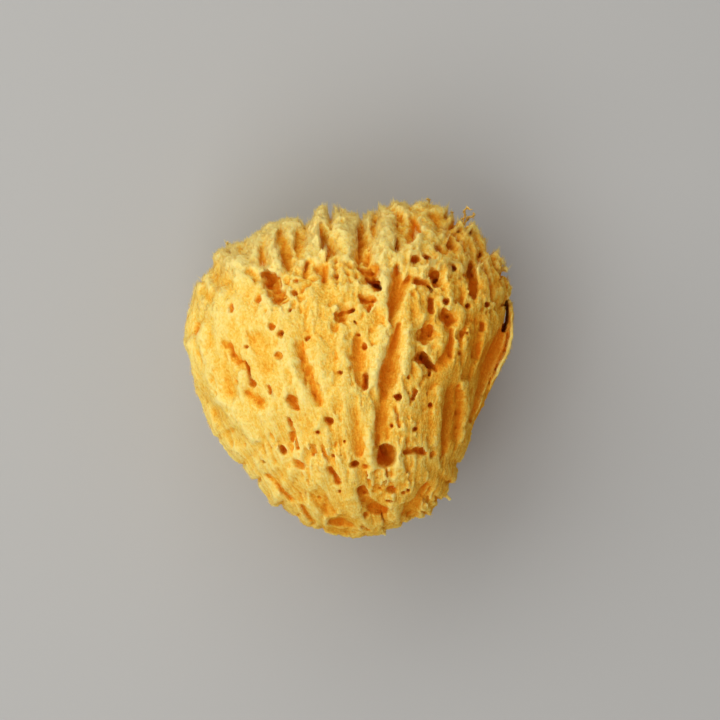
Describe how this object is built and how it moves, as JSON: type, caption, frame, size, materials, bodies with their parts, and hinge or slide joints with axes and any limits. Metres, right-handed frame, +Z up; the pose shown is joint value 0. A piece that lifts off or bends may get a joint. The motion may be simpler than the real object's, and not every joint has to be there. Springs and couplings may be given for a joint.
{
  "type": "sea sponge",
  "caption": "Natural bath sponge, lying on its flattened side, with fluted channels, round pores and a ragged tufted crown.",
  "frame": {"origin": "on the surface that the sponge lies on, under the middle of its length and width, in the flattened underside", "axes": "+Z up from that surface; +Y along the growth, from the narrow trimmed tip to the broad tufted crown; +X to the right when the sponge is seen from above with its crown away from the viewer"},
  "size_m": [0.1002, 0.1042, 0.0779],
  "materials": {
    "sponge_fibre": "dry matte golden fibre skeleton, paler on the tufts and orange brown in the pores"
  },
  "bodies": {
    "root": {"sea_sponge": "sponge_fibre"}
  },
  "joints": []
}
